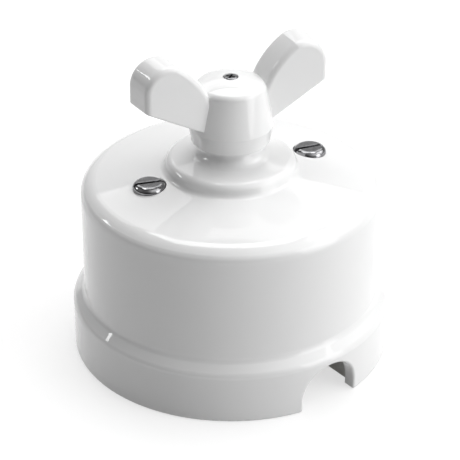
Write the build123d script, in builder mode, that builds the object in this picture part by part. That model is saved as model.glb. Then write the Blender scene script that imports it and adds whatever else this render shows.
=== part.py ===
"""Porcelain two-way rotary switch for surface wiring.

A glazed porcelain cover with a stepped foot stands on a porcelain base. A winged porcelain
knob turns a spindle through the neck of the cover, four clicks to a turn. Inside, a drum with
a brass band joins the common terminal to one or the other of two switched terminals.

Frame: millimetres, +Z up along the spindle, out of the wall. The origin is on the spindle axis
in the plane of the wall, and the cable comes in through the notch on the -Y side.
"""

import os
from math import asin, cos, degrees, radians, sin, sqrt

from build123d import *

os.makedirs("parts", exist_ok=True)

# Cover, outside
flange_step = 2.35
flange_straight = 10.2
flange_round = 1.8
rim_round = 0.6
body_radius = 31.15
body_straight = 35.45
shoulder_round = 2.6
crown_round = 5.0
crown_slope = 12.0
boss_foot_radius = 14.7
boss_foot_round = 1.2
boss_side = 0.65
boss_lean = 15.0
boss_edge_round = 1.7
boss_top_slope = 5.0
neck_round = 2.4
neck_radius = 5.9
neck_rise = 6.8
neck_lip_round = 0.6

# Cover, inside
flange_wall = 2.65
body_wall = 2.85
top_wall = 3.0
ledge_height = 9.5
ceiling_round = 2.4
boss_recess_radius = 9.2
boss_recess_drop = 1.0
spindle_way_radius = 3.7

# Cable way
notch_width = 13.3
notch_straight = 2.6
notch_edge_round = 0.5
channel_width = 16.5
channel_end = 17.0
channel_end_round = 3.0

# Base
base_clearance = 0.35
base_floor = 8.0
base_rim_width = 2.9
pocket_depth = 4.0
wall_hole_radius = 2.25
wall_hole_circle = 46.0
wall_hole_turn = 68.0

# The whole mechanism and the cover screws stand at this turn from the cable notch
works_turn = -12.6

# Yoke and the pillars that hold it and the cover
pillar_reach = 18.3
pillar_flats = 6.0
pillar_top = 30.0
pillar_bottom_bore = 7.0
pillar_top_bore = 10.0
yoke_thickness = 1.2
yoke_width = 12.0
yoke_leg_reach = 12.0
yoke_foot_margin = 4.2
yoke_bend = 1.0
cover_screw_radius = 1.7
cover_screw_bite = 8.0
cover_head_radius = 3.42
cover_head_side = 0.65
cover_head_round = 0.55
cover_head_slope = 6.0
cover_seat_depth = 0.35
cover_head_clearance = 0.12
slot_width = 0.85
slot_depth = 0.75
slot_edge_round = 0.12
slot_turns = (-4.2, -9.2)
pillar_edge = 0.5
pillar_head_radius = 3.0
pillar_head_height = 2.0
pillar_screw_length = 10.2
screw_hole_clearance = 0.25
thread_clearance = 0.05

# Spindle and its bearings
spindle_radius = 3.2
journal_radius = 2.45
journal_bottom = 4.3
spindle_flats = 5.0
running_clearance = 0.05
drive_flats = 4.4
drive_length = 7.0
square_fit = 0.05
spindle_tap_depth = 6.5
spindle_edge = 0.4
bush_wall = 1.1
bush_flange_width = 1.9
bush_flange = 1.0
bush_bottom = 3.5
bush_seat_floor = 3.2
washer_thickness = 0.5
upper_bush_wall = 0.8
upper_bush_flange = 0.7
upper_bush_flange_width = 0.45
upper_bush_rise = 0.8
end_play = 0.2

# Drum, contact band and detent
drum_radius = 9.0
drum_height = 9.0
drum_edge = 0.4
band_thickness = 0.8
band_bottom = 0.6
ring_height = 3.0
tab_height = 4.8
tab_angle = 56.0
cam_flats = 10.2
cam_corner_radius = 6.3
cam_thickness = 4.4
spring_sheet = 0.4
detent_width = 9.0
detent_bend = 0.6
detent_gap = 0.05
detent_clearance = 0.6

# Terminals and contact springs
contact_sheet = 0.4
contact_gap = 0.05
contact_edge = 0.2
contact_overrun = 1.5
contact_lip = 2.5
contact_lip_turn = 22.0
terminal_start = 13.0
terminal_length = 7.0
terminal_depth = 6.5
terminal_height = 9.0
terminal_edge = 0.4
wire_hole_radius = 1.6
wire_hole_height = 5.8
terminal_screw_radius = 1.45
terminal_screw_bite = 3.5
wire_screw_rise = 2.2
small_head_radius = 2.6
small_head_height = 1.8
small_slot_width = 0.7
small_slot_depth = 0.7
pocket_clearance = 0.4

# Knob
knob_overlap = 1.0
knob_foot_radius = 8.2
knob_foot_round = 0.4
knob_waist_radius = 8.75
knob_waist_rise = 3.6
knob_shoulder_radius = 7.3
knob_shoulder_rise = 11.6
knob_shoulder_round = 1.5
knob_dome_slope = 22.4
knob_recess_radius = 6.6
knob_recess_depth = 1.6
wing_thickness = 7.6
wing_reach = 20.0
wing_slant = 1.0
wing_root = 5.0
wing_root_rise = 3.05
wing_corner_rise = 11.2
wing_side_rise = 14.8
wing_top_round = 5.5
wing_top_length = 7.0
wing_swell = 1.55
wing_hub_rise = 7.9
wing_edge_round = 1.2
wing_bottom_round = 0.35
knob_screw_radius = 0.8
knob_screw_length = 8.5
knob_head_radius = 1.45
knob_head_height = 1.2
knob_head_round = 0.4
knob_head_sink = 1.15
knob_head_clearance = 0.12
cross_width = 0.42
cross_length = 1.9
cross_depth = 0.6

# Heights and radii that follow from the driving sizes
flange_radius = body_radius + flange_step
flange_inner = flange_radius - flange_wall
cavity_radius = body_radius - body_wall
base_radius = flange_inner - base_clearance
rim_inner = base_radius - base_rim_width
bush_top = base_floor + bush_flange
washer_top = bush_top + washer_thickness
drum_bottom = washer_top
drum_top = drum_bottom + drum_height
cam_top = drum_top + cam_thickness
upper_bush_bottom = cam_top + end_play
detent_web = upper_bush_bottom + upper_bush_flange
yoke_plate = detent_web + spring_sheet
yoke_top = yoke_plate + yoke_thickness
upper_bush_top = yoke_top + upper_bush_rise
upper_bush_radius = spindle_radius + running_clearance + upper_bush_wall
foot_top = base_floor + yoke_thickness
yoke_foot_reach = pillar_reach + yoke_foot_margin
contact_plane = drum_radius + contact_gap
terminal_face = contact_plane + contact_sheet
terminal_bottom = base_floor + contact_sheet
terminal_top = terminal_bottom + terminal_height
terminal_middle = terminal_start + terminal_length / 2
terminal_centre = terminal_face + terminal_depth / 2
ring_bottom = drum_bottom + band_bottom
ring_top = ring_bottom + ring_height
tab_top = ring_top + tab_height

# The crown of the cover: two arcs off the wall, then a ball of large radius up to the boss
crown_end_radius = (
    body_radius
    - shoulder_round * (1 - cos(radians(45)))
    - crown_round * (cos(radians(45)) - sin(radians(crown_slope)))
)
crown_end_height = (
    body_straight
    + shoulder_round * sin(radians(45))
    + crown_round * (cos(radians(crown_slope)) - sin(radians(45)))
)
dome_radius = crown_end_radius / sin(radians(crown_slope))
dome_centre = crown_end_height - dome_radius * cos(radians(crown_slope))
boss_foot_slope = degrees(asin(boss_foot_radius / dome_radius))


def dome_height(radius):
    """Height of the cover's domed top at a distance from the axis."""
    return dome_centre + sqrt(dome_radius**2 - radius**2)


cover_seat = dome_height(pillar_reach) - cover_seat_depth
cover_screw_length = cover_seat - pillar_top + cover_screw_bite
boss_recess_top = dome_height(0) - boss_recess_drop
neck_top = dome_height(0) + neck_rise
knob_bottom = neck_top - knob_overlap
knob_waist = knob_bottom + knob_waist_rise
knob_shoulder = knob_bottom + knob_shoulder_rise
spindle_shoulder = knob_bottom + knob_recess_depth
spindle_top = spindle_shoulder + drive_length
wing_root_bottom = knob_bottom + wing_root_rise
wing_corner = knob_bottom + wing_corner_rise
wing_side_top = knob_bottom + wing_side_rise
wing_hub = knob_bottom + wing_hub_rise

# The mechanism is drawn square to its own X axis, which the cover screws lie on
works = Plane.XY.rotated((0, 0, works_turn))


def works_at(height, turn=0.0):
    """A level plane of the mechanism at a height, turned further about the spindle."""
    return Plane.XY.rotated((0, 0, works_turn + turn)).offset(height)


def square_section(flats, corner_radius):
    """A square with its corners turned off, for the current sketch."""
    Rectangle(flats, flats)
    Circle(corner_radius, mode=Mode.INTERSECT)


def finish(part, label):
    """Names a finished piece and writes it to its own file."""
    part.label = label
    export_step(part, f"parts/{label}.step")


# Cover: one revolved shell with the screw seats, the spindle way and the cable notch
with BuildPart() as cover:
    with BuildSketch(Plane.XZ):
        with BuildLine():
            rim = Line((flange_inner, 0), (flange_radius - rim_round, 0))
            rim_edge = JernArc(rim @ 1, (1, 0), rim_round, 90)
            flange_side = Line(rim_edge @ 1, (flange_radius, flange_straight))
            flange_edge = JernArc(flange_side @ 1, (0, 1), flange_round, 45)
            step_length = (
                flange_radius - body_radius - 2 * flange_round * (1 - cos(radians(45)))
            ) / cos(radians(45))
            step = PolarLine(flange_edge @ 1, step_length, 135)
            step_foot = JernArc(step @ 1, step % 1, flange_round, -45)
            body_side = Line(step_foot @ 1, (body_radius, body_straight))
            shoulder = JernArc(body_side @ 1, (0, 1), shoulder_round, 45)
            crown = JernArc(shoulder @ 1, shoulder % 1, crown_round, 45 - crown_slope)
            dome = JernArc(crown @ 1, crown % 1, dome_radius, crown_slope - boss_foot_slope)
            boss_foot = JernArc(
                dome @ 1, dome % 1, boss_foot_round, boss_lean + boss_foot_slope - 90
            )
            boss_wall = PolarLine(boss_foot @ 1, boss_side, 90 + boss_lean)
            boss_edge = JernArc(
                boss_wall @ 1, boss_wall % 1, boss_edge_round, 90 - boss_lean - boss_top_slope
            )
            neck_foot_reach = neck_round * (1 - sin(radians(boss_top_slope)))
            boss_top_length = ((boss_edge @ 1).X - neck_radius - neck_foot_reach) / cos(
                radians(boss_top_slope)
            )
            boss_top = PolarLine(boss_edge @ 1, boss_top_length, 180 - boss_top_slope)
            neck_foot = JernArc(boss_top @ 1, boss_top % 1, neck_round, boss_top_slope - 90)
            neck_side = Line(neck_foot @ 1, (neck_radius, neck_top - neck_lip_round))
            neck_lip = JernArc(neck_side @ 1, (0, 1), neck_lip_round, 90)
            neck_end = Line(neck_lip @ 1, (spindle_way_radius, neck_top))
            spindle_way = Line(neck_end @ 1, (spindle_way_radius, boss_recess_top))
            recess_top = Line(spindle_way @ 1, (boss_recess_radius, boss_recess_top))
            ceiling_start = cavity_radius - ceiling_round * (1 - sin(radians(crown_slope)))
            ceiling_end = dome_height(ceiling_start) - top_wall
            cavity_straight = ceiling_end - ceiling_round * cos(radians(crown_slope))
            ceiling_radius = ceiling_start / sin(radians(crown_slope))
            recess_slope = degrees(asin(boss_recess_radius / ceiling_radius))
            ledge = Line((flange_inner, ledge_height), (cavity_radius, ledge_height))
            cavity_side = Line(ledge @ 1, (cavity_radius, cavity_straight))
            ceiling_edge = JernArc(cavity_side @ 1, (0, 1), ceiling_round, 90 - crown_slope)
            ceiling = JernArc(
                ceiling_edge @ 1, ceiling_edge % 1, ceiling_radius, crown_slope - recess_slope
            )
            recess_side = Line(recess_top @ 1, ceiling @ 1)
            flange_bore = Line((flange_inner, 0), (flange_inner, ledge_height))
        make_face()
    revolve(axis=Axis.Z)
    with BuildSketch(works_at(0)):
        with Locations((pillar_reach, 0), (-pillar_reach, 0)):
            Circle(cover_screw_radius + screw_hole_clearance)
    extrude(amount=neck_top, mode=Mode.SUBTRACT)
    with BuildSketch(works_at(cover_seat)):
        with Locations((pillar_reach, 0), (-pillar_reach, 0)):
            Circle(cover_head_radius + cover_head_clearance)
    extrude(amount=neck_top - cover_seat, mode=Mode.SUBTRACT)
    with BuildSketch(Plane.XZ.offset((flange_inner + cavity_radius) / 2)):
        with Locations((0, notch_straight)):
            Circle(notch_width / 2)
        Rectangle(notch_width, notch_straight, align=(Align.CENTER, Align.MIN))
    extrude(amount=flange_radius, mode=Mode.SUBTRACT)
    notch_edges = cover.edges().filter_by(
        lambda edge: edge.bounding_box().max.Y < 2 * notch_edge_round - flange_radius
        and abs(edge.center().X) < notch_width / 2 + rim_round
    )
    fillet(notch_edges, notch_edge_round)
finish(cover.part, "cover")

# Base: a thick porcelain disc with a rim, holes, pockets for screw heads and the cable way
with BuildPart() as base:
    with BuildSketch():
        Circle(base_radius)
    extrude(amount=ledge_height)
    with BuildSketch(Plane.XY.offset(base_floor)):
        Circle(rim_inner)
    extrude(amount=ledge_height - base_floor, mode=Mode.SUBTRACT)
    with BuildSketch():
        channel_length = base_radius - channel_end + base_clearance
        with Locations((0, -channel_end - channel_length / 2)):
            RectangleRounded(
                channel_width, channel_length + 2 * channel_end_round, channel_end_round
            )
    extrude(amount=ledge_height, mode=Mode.SUBTRACT)
    with BuildSketch(Plane.XY.offset(bush_seat_floor)):
        Circle(journal_radius + running_clearance + bush_wall + thread_clearance)
    extrude(amount=base_floor, mode=Mode.SUBTRACT)
    with BuildSketch(works_at(0)):
        with PolarLocations(wall_hole_circle / 2, 2, start_angle=wall_hole_turn):
            Circle(wall_hole_radius)
        with Locations((pillar_reach, 0), (-pillar_reach, 0)):
            Circle(cover_screw_radius + screw_hole_clearance)
    extrude(amount=base_floor, mode=Mode.SUBTRACT)
    with BuildSketch(works_at(0)):
        with Locations((pillar_reach, 0), (-pillar_reach, 0)):
            Circle(pillar_head_radius + pocket_clearance)
    extrude(amount=pocket_depth, mode=Mode.SUBTRACT)
    for quarter in range(3):
        with BuildSketch(works_at(0, 90 * quarter)):
            with Locations((terminal_middle, terminal_centre)):
                Circle(terminal_screw_radius + screw_hole_clearance)
        extrude(amount=base_floor, mode=Mode.SUBTRACT)
        with BuildSketch(works_at(0, 90 * quarter)):
            with Locations((terminal_middle, terminal_centre)):
                Circle(small_head_radius + pocket_clearance)
        extrude(amount=pocket_depth, mode=Mode.SUBTRACT)
finish(base.part, "base")

# Yoke: a strip of steel bent over the drum, with its two feet under the pillars
works_front = Plane((0, 0, 0), x_dir=works.x_dir, z_dir=-works.y_dir)
works_side = Plane((0, 0, 0), x_dir=works.y_dir, z_dir=works.x_dir)
with BuildPart() as yoke:
    with BuildSketch(works_front):
        with BuildLine():
            foot_middle = base_floor + yoke_thickness / 2
            leg_middle = yoke_leg_reach + yoke_thickness / 2
            plate_middle = yoke_plate + yoke_thickness / 2
            FilletPolyline(
                (-yoke_foot_reach, foot_middle),
                (-leg_middle, foot_middle),
                (-leg_middle, plate_middle),
                (leg_middle, plate_middle),
                (leg_middle, foot_middle),
                (yoke_foot_reach, foot_middle),
                radius=yoke_bend,
            )
        trace(line_width=yoke_thickness)
    extrude(amount=yoke_width / 2, both=True)
    with BuildSketch(works_at(base_floor)):
        with Locations((pillar_reach, 0), (-pillar_reach, 0)):
            Circle(cover_screw_radius + screw_hole_clearance)
    extrude(amount=yoke_thickness, mode=Mode.SUBTRACT)
    with BuildSketch(works_at(yoke_plate)):
        Circle(upper_bush_radius + thread_clearance)
    extrude(amount=yoke_thickness, mode=Mode.SUBTRACT)
finish(yoke.part, "yoke")

# Pillars: two hexagonal brass posts, tapped at both ends
with BuildPart() as pillars:
    with BuildSketch(works_at(foot_top)):
        with Locations((pillar_reach, 0), (-pillar_reach, 0)):
            RegularPolygon(pillar_flats / 2, 6, major_radius=False)
    extrude(amount=pillar_top - foot_top)
    chamfer(pillars.edges().filter_by(Plane.XY), pillar_edge)
    for bore_bottom, bore_depth in (
        (foot_top, pillar_bottom_bore),
        (pillar_top - pillar_top_bore, pillar_top_bore),
    ):
        with BuildSketch(works_at(bore_bottom)):
            with Locations((pillar_reach, 0), (-pillar_reach, 0)):
                Circle(cover_screw_radius + thread_clearance)
        extrude(amount=bore_depth, mode=Mode.SUBTRACT)
finish(pillars.part, "pillars")

# Pillar screws: slotted cheese heads in the pockets under the base
with BuildPart() as pillar_screws:
    with BuildSketch(works_at(pocket_depth - pillar_head_height)):
        with Locations((pillar_reach, 0), (-pillar_reach, 0)):
            Circle(pillar_head_radius)
    extrude(amount=pillar_head_height)
    with BuildSketch(works_at(pocket_depth - pillar_head_height)):
        with Locations((pillar_reach, 0), (-pillar_reach, 0)):
            Rectangle(2 * pillar_head_radius, slot_width)
    extrude(amount=slot_depth, mode=Mode.SUBTRACT)
    with BuildSketch(works_at(pocket_depth)):
        with Locations((pillar_reach, 0), (-pillar_reach, 0)):
            Circle(cover_screw_radius)
    extrude(amount=pillar_screw_length)
finish(pillar_screws.part, "pillar_screws")

# Cover screws: low domed heads with one slot, in seats let into the top of the cover
with BuildPart() as cover_screw:
    with BuildSketch(Plane.XZ):
        with BuildLine():
            tip = Line((0, -cover_screw_length), (cover_screw_radius, -cover_screw_length))
            shank = Line(tip @ 1, (cover_screw_radius, 0))
            under_head = Line(shank @ 1, (cover_head_radius, 0))
            head_side = Line(under_head @ 1, (cover_head_radius, cover_head_side))
            head_edge = JernArc(head_side @ 1, (0, 1), cover_head_round, 90 - cover_head_slope)
            head_ball = (head_edge @ 1).X / sin(radians(cover_head_slope))
            head_crown = JernArc(head_edge @ 1, head_edge % 1, head_ball, cover_head_slope)
            Line(head_crown @ 1, tip @ 0)
        make_face()
    revolve(axis=Axis.Z)
    cover_head_top = (head_crown @ 1).Y
    with BuildSketch(Plane.XY.offset(cover_head_top - slot_depth)):
        Rectangle(2 * cover_head_radius, slot_width)
    extrude(amount=slot_depth, mode=Mode.SUBTRACT)
    slot_edges = cover_screw.edges().filter_by(GeomType.CIRCLE).filter_by(Plane.XZ)
    fillet(slot_edges, slot_edge_round)
with BuildPart() as cover_screws:
    for reach, turn in zip((pillar_reach, -pillar_reach), slot_turns):
        with Locations(works.location * Location((reach, 0, cover_seat), (0, 0, turn))):
            add(cover_screw.part)
finish(cover_screws.part, "cover_screws")

# Lower bush: a flanged brass bearing set in the base
bush_radius = journal_radius + running_clearance + bush_wall
with BuildPart() as lower_bush:
    with BuildSketch(Plane.XY.offset(bush_bottom)):
        Circle(bush_radius)
    extrude(amount=bush_top - bush_bottom)
    with BuildSketch(Plane.XY.offset(base_floor)):
        Circle(bush_radius + bush_flange_width)
    extrude(amount=bush_flange)
    with BuildSketch(Plane.XY.offset(bush_bottom)):
        Circle(journal_radius + running_clearance)
    extrude(amount=bush_top - bush_bottom, mode=Mode.SUBTRACT)
finish(lower_bush.part, "lower_bush")

# Thrust washer: the drum turns on it
with BuildPart() as thrust_washer:
    with BuildSketch(Plane.XY.offset(bush_top)):
        Circle(bush_radius + bush_flange_width)
        Circle(journal_radius + running_clearance, mode=Mode.SUBTRACT)
    extrude(amount=washer_thickness)
finish(thrust_washer.part, "thrust_washer")

# Upper bush: a flanged brass bearing staked in the yoke, through the web of the detent spring
with BuildPart() as upper_bush:
    with BuildSketch(Plane.XY.offset(upper_bush_bottom)):
        Circle(upper_bush_radius + upper_bush_flange_width)
    extrude(amount=upper_bush_flange)
    with BuildSketch(Plane.XY.offset(upper_bush_bottom)):
        Circle(upper_bush_radius)
    extrude(amount=upper_bush_top - upper_bush_bottom)
    with BuildSketch(Plane.XY.offset(upper_bush_bottom)):
        Circle(spindle_radius + running_clearance)
    extrude(amount=upper_bush_top - upper_bush_bottom, mode=Mode.SUBTRACT)
finish(upper_bush.part, "upper_bush")

# Detent spring: spring steel bent down on both sides of the square cam
with BuildPart() as detent_spring:
    with BuildSketch(works_side):
        with BuildLine():
            arm_middle = cam_flats / 2 + detent_gap + spring_sheet / 2
            web_middle = detent_web + spring_sheet / 2
            arm_end = drum_top + detent_clearance
            FilletPolyline(
                (-arm_middle, arm_end),
                (-arm_middle, web_middle),
                (arm_middle, web_middle),
                (arm_middle, arm_end),
                radius=detent_bend,
            )
        trace(line_width=spring_sheet)
    extrude(amount=detent_width / 2, both=True)
    with BuildSketch(Plane.XY.offset(detent_web)):
        Circle(upper_bush_radius + thread_clearance)
    extrude(amount=spring_sheet, mode=Mode.SUBTRACT)
finish(detent_spring.part, "detent_spring")

# Terminals: three like brass blocks and three contact springs, a quarter turn apart
terminal_names = ("first", "second", "common")
blade_spans = {
    "first": (ring_top + contact_edge, tab_top - contact_edge),
    "second": (ring_top + contact_edge, tab_top - contact_edge),
    "common": (ring_bottom + contact_edge, ring_top - contact_edge),
}
for quarter, name in enumerate(terminal_names):
    turn = 90 * quarter
    blade_bottom, blade_top = blade_spans[name]
    with BuildPart() as terminal:
        with BuildSketch(works_at(terminal_bottom, turn)):
            with Locations((terminal_middle, terminal_centre)):
                Rectangle(terminal_length, terminal_depth)
        extrude(amount=terminal_height)
        chamfer(terminal.edges().filter_by(Axis.Z), terminal_edge)
        with BuildSketch(works_at(terminal_bottom, turn)):
            with Locations((terminal_middle, terminal_centre)):
                Circle(terminal_screw_radius + thread_clearance)
        extrude(amount=terminal_height, mode=Mode.SUBTRACT)
        wire_axis = Plane(
            works_at(terminal_bottom + wire_hole_height, turn).from_local_coords(
                (terminal_start, terminal_centre, 0)
            ),
            z_dir=works_at(0, turn).x_dir,
        )
        with BuildSketch(wire_axis):
            Circle(wire_hole_radius)
        extrude(amount=terminal_length, mode=Mode.SUBTRACT)
    finish(terminal.part, f"{name}_terminal")
    with BuildPart() as contact_spring:
        with BuildSketch(works_at(blade_bottom, turn)):
            with BuildLine():
                blade_middle = contact_plane + contact_sheet / 2
                blade = Line(
                    (terminal_start + terminal_length, blade_middle),
                    (-contact_overrun, blade_middle),
                )
                PolarLine(blade @ 1, contact_lip, 180 - contact_lip_turn)
            trace(line_width=contact_sheet)
        extrude(amount=blade_top - blade_bottom)
        with BuildSketch(works_at(base_floor, turn)):
            with Locations((terminal_middle, contact_plane)):
                Rectangle(
                    terminal_length, contact_sheet, align=(Align.CENTER, Align.MIN)
                )
        extrude(amount=blade_top - base_floor)
        with BuildSketch(works_at(base_floor, turn)):
            with Locations((terminal_middle, contact_plane)):
                Rectangle(
                    terminal_length,
                    contact_sheet + terminal_depth - terminal_edge,
                    align=(Align.CENTER, Align.MIN),
                )
        extrude(amount=contact_sheet)
        with BuildSketch(works_at(base_floor, turn)):
            with Locations((terminal_middle, terminal_centre)):
                Circle(terminal_screw_radius + screw_hole_clearance)
        extrude(amount=contact_sheet, mode=Mode.SUBTRACT)
    finish(contact_spring.part, f"{name}_contact_spring")

# Wire screws clamp the conductors from above, terminal screws hold the blocks from below
wire_tip = terminal_bottom + wire_hole_height + wire_hole_radius - contact_edge
wire_seat = terminal_top + wire_screw_rise
terminal_screw_length = base_floor - pocket_depth + contact_sheet + terminal_screw_bite
with BuildPart() as wire_screws:
    for quarter in range(3):
        centre = (terminal_middle, terminal_centre)
        with BuildSketch(works_at(wire_tip, 90 * quarter)):
            with Locations(centre):
                Circle(terminal_screw_radius)
        extrude(amount=wire_seat - wire_tip)
        with BuildSketch(works_at(wire_seat, 90 * quarter)):
            with Locations(centre):
                Circle(small_head_radius)
        extrude(amount=small_head_height)
        with BuildSketch(works_at(wire_seat + small_head_height, 90 * quarter)):
            with Locations(centre):
                Rectangle(2 * small_head_radius, small_slot_width)
        extrude(amount=-small_slot_depth, mode=Mode.SUBTRACT)
finish(wire_screws.part, "wire_screws")

with BuildPart() as terminal_screws:
    for quarter in range(3):
        centre = (terminal_middle, terminal_centre)
        head_bottom = pocket_depth - small_head_height
        with BuildSketch(works_at(head_bottom, 90 * quarter)):
            with Locations(centre):
                Circle(small_head_radius)
        extrude(amount=small_head_height)
        with BuildSketch(works_at(head_bottom, 90 * quarter)):
            with Locations(centre):
                Rectangle(2 * small_head_radius, small_slot_width)
        extrude(amount=small_slot_depth, mode=Mode.SUBTRACT)
        with BuildSketch(works_at(pocket_depth, 90 * quarter)):
            with Locations(centre):
                Circle(terminal_screw_radius)
        extrude(amount=terminal_screw_length)
finish(terminal_screws.part, "terminal_screws")

# Spindle: journal, square for the drum and cam, round through the neck, square for the knob
with BuildPart() as spindle:
    with BuildSketch(Plane.XY.offset(journal_bottom)):
        Circle(journal_radius)
    extrude(amount=drum_bottom - journal_bottom)
    with BuildSketch(works_at(drum_bottom)):
        square_section(spindle_flats, spindle_radius)
    extrude(amount=cam_top - drum_bottom)
    with BuildSketch(Plane.XY.offset(cam_top)):
        Circle(spindle_radius)
    extrude(amount=spindle_shoulder - cam_top)
    with BuildSketch(works_at(spindle_shoulder)):
        square_section(drive_flats, spindle_radius)
    extrude(amount=spindle_top - spindle_shoulder)
    chamfer(spindle.faces().sort_by(Axis.Z)[-1].edges(), spindle_edge)
    with BuildSketch(Plane.XY.offset(spindle_top - spindle_tap_depth)):
        Circle(knob_screw_radius + thread_clearance)
    extrude(amount=spindle_tap_depth, mode=Mode.SUBTRACT)
finish(spindle.part, "spindle")

# Contact band: a brass ring with two tabs, let into the drum flush with its wall
with BuildPart() as contact_band:
    with BuildSketch(Plane.XY.offset(ring_bottom)):
        Circle(drum_radius)
        Circle(drum_radius - band_thickness, mode=Mode.SUBTRACT)
    extrude(amount=ring_height)
    with BuildSketch(works_at(ring_top)):
        with BuildLine():
            for side in (90, 270):
                CenterArc((0, 0), drum_radius - band_thickness / 2, side - tab_angle / 2, tab_angle)
        trace(line_width=band_thickness)
    extrude(amount=tab_height)
finish(contact_band.part, "contact_band")

# Drum: moulded insulation round the band, with a square way for the spindle
with BuildPart() as drum:
    with BuildSketch(Plane.XY.offset(drum_bottom)):
        Circle(drum_radius)
    extrude(amount=drum_height)
    chamfer(drum.edges().filter_by(GeomType.CIRCLE), drum_edge)
    add(contact_band.part, mode=Mode.SUBTRACT)
    with BuildSketch(works_at(drum_bottom)):
        square_section(spindle_flats + 2 * square_fit, spindle_radius + square_fit)
    extrude(amount=drum_height, mode=Mode.SUBTRACT)
finish(drum.part, "drum")

# Detent cam: a hardened square with rounded corners
with BuildPart() as detent_cam:
    with BuildSketch(works_at(drum_top)):
        square_section(cam_flats, cam_corner_radius)
    extrude(amount=cam_thickness)
    with BuildSketch(works_at(drum_top)):
        square_section(spindle_flats + 2 * square_fit, spindle_radius + square_fit)
    extrude(amount=cam_thickness, mode=Mode.SUBTRACT)
finish(detent_cam.part, "detent_cam")


def wing_outline(reach):
    """The broad side of a wing as a wire, with its end at a distance from the axis."""
    with BuildLine(mode=Mode.PRIVATE) as outline:
        under = Line((wing_root, wing_root_bottom), (reach, wing_corner))
        end = Line(under @ 1, (reach, wing_side_top))
        top_centre_reach = reach - wing_top_round
        top_end_reach = wing_reach - wing_top_length
        top_turn = 90 + degrees(asin((top_centre_reach - top_end_reach) / wing_top_round))
        top = JernArc(end @ 1, (0, 1), wing_top_round, top_turn)
        inside = SagittaArc(top @ 1, (wing_root, wing_hub), -wing_swell)
        Line(inside @ 1, under @ 0)
    return outline.line


# Knob: a turned hub with two wings, one porcelain piece. The ends of the wings are not quite
# square to their sides: both are longer at the back. Their inner sides swell down to the hub
with BuildPart() as wing:
    for side, reach in ((1, wing_reach), (-1, wing_reach + wing_slant)):
        with BuildSketch(works_front.offset(side * wing_thickness / 2)):
            add(wing_outline(reach))
            make_face()
    loft(ruled=True)
    broad_edges = wing.edges().filter_by(works_front)
    soft_edges = broad_edges.filter_by(lambda edge: edge.center().Z > wing_corner + wing_edge_round)
    fillet(soft_edges, wing_edge_round)
    straight_edges = wing.edges().filter_by(works_front).filter_by(GeomType.LINE)
    under_edges = straight_edges.sort_by(SortBy.LENGTH)[-2:]
    fillet(under_edges, wing_bottom_round)

with BuildPart() as knob:
    with BuildSketch(Plane.XZ):
        with BuildLine():
            knob_foot = Line((0, knob_bottom), (knob_foot_radius - knob_foot_round, knob_bottom))
            foot_edge = JernArc(knob_foot @ 1, (1, 0), knob_foot_round, 80)
            lower_side = Line(foot_edge @ 1, (knob_waist_radius, knob_waist))
            upper_side = Line(lower_side @ 1, (knob_shoulder_radius, knob_shoulder))
            cone_turn = (upper_side % 1).get_angle(Vector(-1, 0)) - knob_dome_slope
            knob_edge = JernArc(upper_side @ 1, upper_side % 1, knob_shoulder_round, cone_turn)
            knob_ball = (knob_edge @ 1).X / sin(radians(knob_dome_slope))
            knob_dome = JernArc(knob_edge @ 1, knob_edge % 1, knob_ball, knob_dome_slope)
            Line(knob_dome @ 1, knob_foot @ 0)
        make_face()
    revolve(axis=Axis.Z)
    knob_top = (knob_dome @ 1).Y
    knob_seat = knob_top - knob_head_sink
    add(wing.part)
    mirror(wing.part, about=works_side)
    with BuildSketch(Plane.XY.offset(knob_bottom)):
        Circle(knob_recess_radius)
    extrude(amount=knob_recess_depth, mode=Mode.SUBTRACT)
    with BuildSketch(works_at(spindle_shoulder)):
        square_section(drive_flats + 2 * square_fit, spindle_radius + square_fit)
    extrude(amount=drive_length + spindle_edge, mode=Mode.SUBTRACT)
    with BuildSketch(Plane.XY.offset(spindle_top)):
        Circle(knob_screw_radius + screw_hole_clearance)
    extrude(amount=knob_top - spindle_top, mode=Mode.SUBTRACT)
    with BuildSketch(Plane.XY.offset(knob_seat)):
        Circle(knob_head_radius + knob_head_clearance)
    extrude(amount=2 * knob_head_sink, mode=Mode.SUBTRACT)
finish(knob.part, "knob")

# Knob screw: a small pan head with a cross recess
with BuildPart() as knob_screw:
    with BuildSketch(Plane.XY.offset(knob_seat - knob_screw_length)):
        Circle(knob_screw_radius)
    extrude(amount=knob_screw_length)
    with BuildSketch(Plane.XY.offset(knob_seat)):
        Circle(knob_head_radius)
    extrude(amount=knob_head_height)
    fillet(knob_screw.edges().sort_by(Axis.Z)[-1], knob_head_round)
    with BuildSketch(works_at(knob_seat + knob_head_height - cross_depth, 45)):
        Rectangle(cross_length, cross_width)
        Rectangle(cross_width, cross_length)
    extrude(amount=cross_depth, mode=Mode.SUBTRACT)
finish(knob_screw.part, "knob_screw")
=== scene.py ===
# %% [markdown]
# A porcelain switch on a white table. Almost everything in this picture is white, so the shapes
# are told by soft shade and by what the glaze mirrors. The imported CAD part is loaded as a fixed
# frame first, and its pieces then get the finishes of the real ones.

# %% Load the frame
import math

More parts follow.
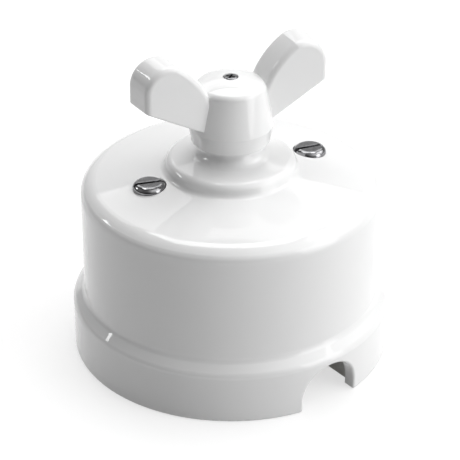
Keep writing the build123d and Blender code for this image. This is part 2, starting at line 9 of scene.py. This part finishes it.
import bpy
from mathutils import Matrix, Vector


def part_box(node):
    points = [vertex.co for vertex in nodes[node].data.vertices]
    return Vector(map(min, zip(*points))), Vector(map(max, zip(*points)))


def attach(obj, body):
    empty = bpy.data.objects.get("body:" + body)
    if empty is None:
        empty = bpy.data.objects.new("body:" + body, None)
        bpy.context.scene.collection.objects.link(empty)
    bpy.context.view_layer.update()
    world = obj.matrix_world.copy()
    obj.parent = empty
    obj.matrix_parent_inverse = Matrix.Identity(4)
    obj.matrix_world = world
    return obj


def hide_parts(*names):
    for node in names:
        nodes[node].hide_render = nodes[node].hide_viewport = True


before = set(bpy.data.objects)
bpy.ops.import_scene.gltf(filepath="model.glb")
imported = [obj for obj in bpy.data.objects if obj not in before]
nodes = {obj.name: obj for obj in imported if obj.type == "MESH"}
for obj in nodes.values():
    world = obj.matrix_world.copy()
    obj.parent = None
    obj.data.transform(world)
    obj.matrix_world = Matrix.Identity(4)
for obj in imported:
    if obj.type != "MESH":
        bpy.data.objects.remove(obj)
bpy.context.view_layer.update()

# %% [markdown]
# Each finish is a small tree of shader nodes, and helpers keep its cell short. These three start a
# material, add a node with its settings, and link two sockets.

# %% Helpers for nodes
def new_finish(name, colour, roughness, metallic=0.0):
    """A material with one Principled shader, and the shader itself."""
    finish = bpy.data.materials.new(name)
    finish.use_nodes = True
    shader = finish.node_tree.nodes["Principled BSDF"]
    shader.inputs["Base Color"].default_value = (*colour, 1.0)
    shader.inputs["Roughness"].default_value = roughness
    shader.inputs["Metallic"].default_value = metallic
    return finish, shader


def add_node(finish, kind, **settings):
    """A shader node of a kind, with its settings."""
    node = finish.node_tree.nodes.new(kind)
    for name, value in settings.items():
        setattr(node, name, value)
    return node


def join(finish, start, end):
    """A link from an output socket to an input socket."""
    finish.node_tree.links.new(start, end)


# %% [markdown]
# A real surface is never quite even. A noise pattern on the object's own coordinates, which are
# metres here, drives that: a scale of 100 is a grain of about a centimetre. It can colour the
# surface, change its roughness, or raise bumps.

# %% Helpers for patterns
def noise(finish, scale, detail, stretch=(1, 1, 1)):
    """A noise pattern on object coordinates. Its grain is about one over the scale, in metres."""
    place = add_node(finish, "ShaderNodeTexCoord")
    mapping = add_node(finish, "ShaderNodeMapping")
    mapping.inputs["Scale"].default_value = stretch
    pattern = add_node(finish, "ShaderNodeTexNoise")
    pattern.inputs["Scale"].default_value = scale
    pattern.inputs["Detail"].default_value = detail
    join(finish, place.outputs["Object"], mapping.inputs["Vector"])
    join(finish, mapping.outputs["Vector"], pattern.inputs["Vector"])
    return pattern.outputs["Fac"]


def span(finish, value, low, high):
    """A value that runs from 0 to 1, carried to another range."""
    carry = add_node(finish, "ShaderNodeMapRange")
    carry.inputs["To Min"].default_value = low
    carry.inputs["To Max"].default_value = high
    join(finish, value, carry.inputs["Value"])
    return carry.outputs["Result"]


def tint(finish, value, shader, dark, light):
    """A base colour that runs between two colours with a value."""
    mix = add_node(finish, "ShaderNodeMix", data_type="RGBA")
    mix.inputs["A"].default_value = (*dark, 1.0)
    mix.inputs["B"].default_value = (*light, 1.0)
    join(finish, value, mix.inputs["Factor"])
    join(finish, mix.outputs["Result"], shader.inputs["Base Color"])


def relief(finish, value, shader, depth, below=None):
    """Bumps of a depth in metres, on top of other bumps if there are any."""
    bump = add_node(finish, "ShaderNodeBump")
    bump.inputs["Distance"].default_value = depth
    bump.inputs["Strength"].default_value = 1.0
    join(finish, value, bump.inputs["Height"])
    if below is not None:
        join(finish, below, bump.inputs["Normal"])
    join(finish, bump.outputs["Normal"], shader.inputs["Normal"])
    return bump.outputs["Normal"]


def wear(finish, *names):
    """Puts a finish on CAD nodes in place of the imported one."""
    for name in names:
        nodes[name].data.materials.clear()
        nodes[name].data.materials.append(finish)
    print(finish.name, "on", ", ".join(names))


# %% [markdown]
# Glazed porcelain is a white body under a clear glass coat. The coat is a second gloss layer of
# the Principled shader. Real glaze pools a little, so the mirror images in it waver: a soft noise
# of about a centimetre and a weaker one of about two millimetres bend the surface. The white is a
# touch greyer in wide faint clouds.

# %% Glazed porcelain
glaze, glaze_shader = new_finish("glazed_porcelain", (0.86, 0.86, 0.86), 0.45)
glaze_shader.inputs["Coat Weight"].default_value = 1.0
glaze_shader.inputs["Coat Roughness"].default_value = 0.035
glaze_shader.inputs["Coat IOR"].default_value = 1.55
glaze_shader.inputs["Specular IOR Level"].default_value = 0.2
tint(glaze, noise(glaze, 60, 3), glaze_shader, (0.845, 0.847, 0.85), (0.875, 0.875, 0.872))
pooled = relief(glaze, noise(glaze, 110, 1), glaze_shader, 0.00002)
relief(glaze, noise(glaze, 520, 2), glaze_shader, 0.0000015, below=pooled)
wear(glaze, "cover", "knob")

# %% [markdown]
# The base sits under the cover and shows only through the cable notch. It is the same porcelain
# without the glass coat, so it is duller, a little warmer, and finely grained.

# %% Porcelain of the base
biscuit, biscuit_shader = new_finish("base_porcelain", (0.8, 0.79, 0.76), 0.55)
tint(biscuit, noise(biscuit, 300, 4), biscuit_shader, (0.76, 0.75, 0.72), (0.84, 0.83, 0.80))
relief(biscuit, noise(biscuit, 2500, 3), biscuit_shader, 0.00002)
wear(biscuit, "base")

# %% [markdown]
# Chrome shows almost nothing but the room. What tells it from a perfect mirror are fine polishing
# lines and a grey film of age, which gathers in faint spots, so both the colour and the
# roughness wander a little.

# %% Chrome plating
chrome, chrome_shader = new_finish("chrome_plating", (0.32, 0.32, 0.33), 0.1, 1.0)
tint(chrome, noise(chrome, 1400, 4), chrome_shader, (0.14, 0.14, 0.145), (0.44, 0.44, 0.45))
join(chrome, span(chrome, noise(chrome, 900, 3), 0.02, 0.09), chrome_shader.inputs["Roughness"])
polished = relief(chrome, noise(chrome, 700, 2), chrome_shader, 0.000003)
relief(chrome, noise(chrome, 900, 2, stretch=(1, 9, 1)), chrome_shader, 0.000002, below=polished)
wear(chrome, "cover_screws", "knob_screw")

# %% [markdown]
# The mechanism inside is bare metal: zinc-plated steel, turned brass, rolled bronze and blued
# spring steel. The cover hides it, so each metal only needs its own colour and a little unevenness.

# %% Zinc plating
zinc, zinc_shader = new_finish("zinc_plating", (0.6, 0.61, 0.63), 0.35, 1.0)
tint(zinc, noise(zinc, 800, 4), zinc_shader, (0.5, 0.52, 0.55), (0.68, 0.69, 0.7))
relief(zinc, noise(zinc, 4000, 2), zinc_shader, 0.000005)
wear(zinc, "yoke", "pillar_screws", "thrust_washer", "terminal_screws", "detent_cam")

# %% Brass
brass, brass_shader = new_finish("turned_brass", (0.78, 0.6, 0.3), 0.28, 1.0)
tint(brass, noise(brass, 500, 3), brass_shader, (0.68, 0.5, 0.24), (0.83, 0.66, 0.35))
relief(brass, noise(brass, 3000, 2), brass_shader, 0.000004)
wear(brass, "pillars", "lower_bush", "upper_bush", "first_terminal", "second_terminal",
     "common_terminal", "wire_screws", "spindle", "contact_band")

# %% Spring metals
bronze, bronze_shader = new_finish("rolled_bronze", (0.72, 0.43, 0.24), 0.3, 1.0)
tint(bronze, noise(bronze, 600, 3), bronze_shader, (0.6, 0.35, 0.2), (0.78, 0.5, 0.3))
wear(bronze, "first_contact_spring", "second_contact_spring", "common_contact_spring")
blued, blued_shader = new_finish("blued_spring_steel", (0.2, 0.24, 0.36), 0.3, 1.0)
tint(blued, noise(blued, 400, 3), blued_shader, (0.13, 0.16, 0.27), (0.26, 0.27, 0.36))
wear(blued, "detent_spring")

# %% [markdown]
# The drum is moulded phenolic, a hard dark brown plastic with a slight mottle. It isn't a metal, so
# its shader stays a plain one with a colour that wanders.

# %% Moulded phenolic of the drum
phenolic, phenolic_shader = new_finish("moulded_phenolic", (0.09, 0.045, 0.025), 0.35)
tint(phenolic, noise(phenolic, 900, 4), phenolic_shader, (0.05, 0.025, 0.015), (0.13, 0.07, 0.04))
wear(phenolic, "drum")

# %% [markdown]
# The two cover screws have low heads, rounded all the way from the top to the seat. That round
# edge is what one sees of them, because it mirrors the room from the ceiling down to the table.
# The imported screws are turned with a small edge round, so one is modelled once more here, as on a
# lathe: a rod, a head pulled out of it, and a wide bevel on its rim. The tip is read from the
# packed screws' box. The other sizes are written out in metres.

# %% Sizes of the cover screws
low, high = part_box("cover_screws")
screw_tip = low[2]
seat = 0.03995
rod_radius = 0.0017
head_radius, head_height = 0.00342, 0.00134
head_round, head_round_steps = 0.00118, 14
screw_sides = 96
print("screws reach from", round(screw_tip, 5), "to", round(high[2], 5))


# %% One screw on the lathe
def lathe_screw(name):
    """A screw that stands on the origin's axis: its rod, its head, and the round rim of the head."""
    bpy.ops.object.select_all(action="DESELECT")
    bpy.ops.mesh.primitive_circle_add(vertices=screw_sides, radius=rod_radius, fill_type="NGON",
                                      location=(0, 0, screw_tip))
    screw = bpy.context.object
    screw.name = name
    bpy.ops.object.mode_set(mode="EDIT")
    bpy.ops.mesh.select_all(action="SELECT")
    bpy.ops.mesh.extrude_region_move(TRANSFORM_OT_translate={"value": (0, 0, seat - screw_tip)})
    bpy.ops.mesh.extrude_region_move(TRANSFORM_OT_translate={"value": (0, 0, 0)})
    wider = head_radius / rod_radius
    bpy.ops.transform.resize(value=(wider, wider, 1), center_override=(0, 0, seat))
    bpy.ops.mesh.extrude_region_move(TRANSFORM_OT_translate={"value": (0, 0, head_height)})
    bpy.ops.mesh.bevel(offset=head_round, segments=head_round_steps, profile=0.5)
    bpy.ops.mesh.select_all(action="SELECT")
    bpy.ops.mesh.normals_make_consistent(inside=False)
    bpy.ops.object.mode_set(mode="OBJECT")
    return screw


front_screw = lathe_screw("front_cover_screw")
print("screw", len(front_screw.data.vertices), "points")

# %% [markdown]
# The slot is sawn: a blade the width of the slot is taken out of the head with a Boolean modifier.
# A sawn edge is never quite sharp, so a small Bevel follows, only where the faces meet steeply.

# %% Saw the slot
slot_width, slot_depth = 0.0008, 0.00075
slot_edge = 0.00007
sharp_angle = math.radians(40)


def saw_slot(screw):
    """Cuts a slot along X across the head and takes the sharpness off its edges."""
    head_top = (0, 0, seat + head_height)
    bpy.ops.object.select_all(action="DESELECT")
    bpy.ops.mesh.primitive_cube_add(size=2 * slot_depth, location=head_top)
    blade = bpy.context.object
    bpy.ops.object.mode_set(mode="EDIT")
    bpy.ops.mesh.select_all(action="SELECT")
    bpy.ops.transform.resize(value=(1.5 * head_radius / slot_depth, slot_width / (2 * slot_depth), 1),
                             center_override=head_top)
    bpy.ops.object.mode_set(mode="OBJECT")
    cut = screw.modifiers.new("slot", "BOOLEAN")
    cut.operation, cut.object, cut.solver = "DIFFERENCE", blade, "EXACT"
    soft = screw.modifiers.new("edges", "BEVEL")
    soft.width, soft.segments = slot_edge, 2
    soft.limit_method, soft.angle_limit = "ANGLE", sharp_angle
    bpy.ops.object.select_all(action="DESELECT")
    screw.select_set(True)
    bpy.context.view_layer.objects.active = screw
    for step in ("slot", "edges"):
        bpy.ops.object.modifier_apply(modifier=step)
    bpy.data.objects.remove(blade)
    bpy.ops.object.shade_smooth_by_angle(angle=sharp_angle)


saw_slot(front_screw)
print("slotted screw", len(front_screw.data.polygons), "faces")

# %% [markdown]
# The second screw is a copy with a mesh of its own. Both holes lie on one line through the middle,
# which is turned a little from the cable notch, and a fitter never leaves two slots at the same
# angle. Applying the place puts it in the mesh and leaves the object at the origin.

# %% Put both cover screws in place
works_turn = math.radians(-12.6)
hole_reach = 0.0183
front_slot_turn, rear_slot_turn = math.radians(-9.2), math.radians(-4.2)


def set_screw(screw, reach, turn):
    """Moves a screw to its hole and turns its slot, and leaves its place in its mesh."""
    screw.location = (reach * math.cos(works_turn), reach * math.sin(works_turn), screw_tip)
    screw.rotation_euler = (0, 0, works_turn + turn)
    bpy.ops.object.select_all(action="DESELECT")
    screw.select_set(True)
    bpy.context.view_layer.objects.active = screw
    bpy.ops.object.transform_apply(location=True, rotation=True, scale=True)
    screw.data.materials.append(chrome)
    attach(screw, "housing")
    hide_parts("cover_screws")
    middle = sum((point.co for point in screw.data.vertices), Vector()) / len(screw.data.vertices)
    print(screw.name, "at", round(middle.x, 4), round(middle.y, 4))


rear_screw = front_screw.copy()
rear_screw.data = front_screw.data.copy()
rear_screw.name = "rear_cover_screw"
bpy.context.scene.collection.objects.link(rear_screw)
set_screw(front_screw, -hole_reach, front_slot_turn)
set_screw(rear_screw, hole_reach, rear_slot_turn)

# %% [markdown]
# The table is a plain white sheet, larger than the picture. Its matt surface takes the light and
# the object's shadow. A faint glow of its own is added for the camera and for what glaze and
# metal mirror, so that the sheet comes out white while it throws less light back on the object.

# %% Table
table_size, table_gap = 6.0, 0.0001
table_grey = 0.45
bpy.ops.object.select_all(action="DESELECT")
bpy.ops.mesh.primitive_plane_add(size=table_size, location=(0, 0, -table_gap))
table = bpy.context.object
table.name = "table"
white = bpy.data.materials.new("white_table")
white.use_nodes = True
white.node_tree.nodes.clear()
out = add_node(white, "ShaderNodeOutputMaterial")
matt = add_node(white, "ShaderNodeBsdfDiffuse")
matt.inputs["Color"].default_value = (table_grey, table_grey, table_grey, 1)
glow = add_node(white, "ShaderNodeEmission")
both = add_node(white, "ShaderNodeAddShader")
join(white, matt.outputs[0], both.inputs[0])
join(white, glow.outputs[0], both.inputs[1])
join(white, both.outputs[0], out.inputs["Surface"])
table.data.materials.append(white)
print("table", tuple(round(side, 2) for side in table.dimensions))

# %% Glow of the table, for the camera and for mirror images
table_glow = 0.64
path = add_node(white, "ShaderNodeLightPath")
seen = path.outputs["Is Camera Ray"]
for kind in ("Is Glossy Ray", "Is Transmission Ray"):
    either = add_node(white, "ShaderNodeMath", operation="ADD")
    join(white, seen, either.inputs[0])
    join(white, path.outputs[kind], either.inputs[1])
    seen = either.outputs[0]
share = add_node(white, "ShaderNodeMath", operation="MULTIPLY")
share.inputs[1].default_value = table_glow
join(white, seen, share.inputs[0])
join(white, share.outputs[0], glow.inputs["Strength"])
print("table glow", table_glow)

# %% [markdown]
# The camera stands where the fit to the photo put it. Its lens is given as the fit has it, in the
# photo's own pixels, and is turned into millimetres of a 36 mm sensor. A direction in the room is a
# turn about the object and a rise over the table, and the lamps use the same helper further on.

# %% Camera
def way_to(turn, rise):
    """The direction, of length one, that a turn and a rise in radians point to."""
    return Vector((math.cos(turn) * math.cos(rise), math.sin(turn) * math.cos(rise), math.sin(rise)))


look_at = Vector((0, 0, 0.02556))
camera_turn, camera_rise = math.radians(-127.8), math.radians(30.21)
camera_distance = 0.43
photo_width = 460
lens_in_pixels, shift_in_pixels = 2046, -0.75
away = way_to(camera_turn, camera_rise)
camera_data = bpy.data.cameras.new("camera")
camera = bpy.data.objects.new("camera", camera_data)
bpy.context.scene.collection.objects.link(camera)
camera.location = look_at + away * camera_distance
camera.rotation_euler = (-away).to_track_quat("-Z", "Y").to_euler()
camera_data.sensor_width = 36
camera_data.lens = 36 * lens_in_pixels / photo_width
camera_data.shift_x = shift_in_pixels / photo_width
camera_data.clip_start = 0.01
bpy.context.scene.camera = camera
print("camera lens", round(camera_data.lens, 1), "mm")

# %% [markdown]
# The studio is a room with soft light from the right and from behind, and little from the left.
# Panels make the crisp shapes that the glaze mirrors: a tall narrow one low on the right draws the
# line down the hub, one further round lights the right flank, two wide ones behind the object, one
# above the other, whiten its top and its shoulder, and a small window on the left leaves bright
# flecks along the edges.

# %% Panels
def panel(name, turn, rise, distance, width, height, power, aim=(0, 0, 0.03)):
    """A soft panel lamp. Its turn is counted from the camera's side, positive to the right."""
    lamp = bpy.data.lights.new(name, "AREA")
    lamp.shape = "RECTANGLE"
    lamp.size = width
    lamp.size_y = height
    lamp.energy = power
    body = bpy.data.objects.new(name, lamp)
    bpy.context.scene.collection.objects.link(body)
    way = way_to(camera_turn + math.radians(turn), math.radians(rise))
    body.location = Vector(aim) + way * distance
    body.rotation_euler = (-way).to_track_quat("-Z", "Y").to_euler()
    print(name, power, "W at", tuple(round(place, 2) for place in body.location))


panel("right_strip", 64, 10, 0.3, 0.16, 0.24, 0.25, aim=(0, 0, 0.055))
panel("right_back_panel", 115, 45, 0.6, 0.3, 0.35, 0.55)
panel("back_panel", 180, 44, 0.7, 0.7, 0.26, 0.75)
panel("overhead_panel", 180, 70, 0.6, 0.4, 0.26, 1.3)
panel("left_window", -106, 29, 0.5, 0.13, 0.06, 0.2)

# %% [markdown]
# The rest of the room's light has no edges, so it comes from the world. Each glow is brightest in
# one direction and fades smoothly away from it: the cosine of the angle to that direction, raised
# to a power. A row gives its turn and rise in degrees, that power, and its strength.

# %% Glows of the room
world = bpy.data.worlds.new("studio")
bpy.context.scene.world = world
world.use_nodes = True
room = world.node_tree.nodes["Background"]
direction = add_node(world, "ShaderNodeTexCoord").outputs["Generated"]
glows = [(90, 38, 6, 1.55), (45, 60, 12, 0.6), (45, 38, 6, 0.6), (90, 8, 6, 0.25), (180, 8, 6, 0.8),
         (-135, 8, 6, 0.18), (-45, 38, 6, 0.15), (-90, 38, 6, 0.25)]
total = None
for turn, rise, sharpness, strength in glows:
    toward = add_node(world, "ShaderNodeVectorMath", operation="DOT_PRODUCT")
    toward.inputs[1].default_value = way_to(camera_turn + math.radians(turn), math.radians(rise))
    join(world, direction, toward.inputs[0])
    half = add_node(world, "ShaderNodeMath", operation="MAXIMUM")
    half.inputs[1].default_value = 0.0
    join(world, toward.outputs["Value"], half.inputs[0])
    fade = add_node(world, "ShaderNodeMath", operation="POWER")
    fade.inputs[1].default_value = sharpness
    join(world, half.outputs[0], fade.inputs[0])
    sum_up = add_node(world, "ShaderNodeMath", operation="MULTIPLY_ADD")
    sum_up.inputs[1].default_value = strength
    sum_up.inputs[2].default_value = 0.0
    join(world, fade.outputs[0], sum_up.inputs[0])
    if total is not None:
        join(world, total, sum_up.inputs[2])
    total = sum_up.outputs[0]
print("glows", len(glows))

# %% [markdown]
# The camera itself sees a plain white world, and all other rays see the glows. The Standard view
# keeps a colour about as it is written.

# %% White world for the camera
room.inputs["Color"].default_value = (1, 1, 1, 1)
join(world, total, room.inputs["Strength"])
backdrop = add_node(world, "ShaderNodeBackground")
backdrop.inputs["Color"].default_value = (1, 1, 1, 1)
to_camera = add_node(world, "ShaderNodeLightPath").outputs["Is Camera Ray"]
pick = add_node(world, "ShaderNodeMixShader")
join(world, to_camera, pick.inputs["Fac"])
join(world, room.outputs[0], pick.inputs[1])
join(world, backdrop.outputs[0], pick.inputs[2])
join(world, pick.outputs[0], world.node_tree.nodes["World Output"].inputs["Surface"])
bpy.context.scene.view_settings.view_transform = "Standard"
print("view", bpy.context.scene.view_settings.view_transform)
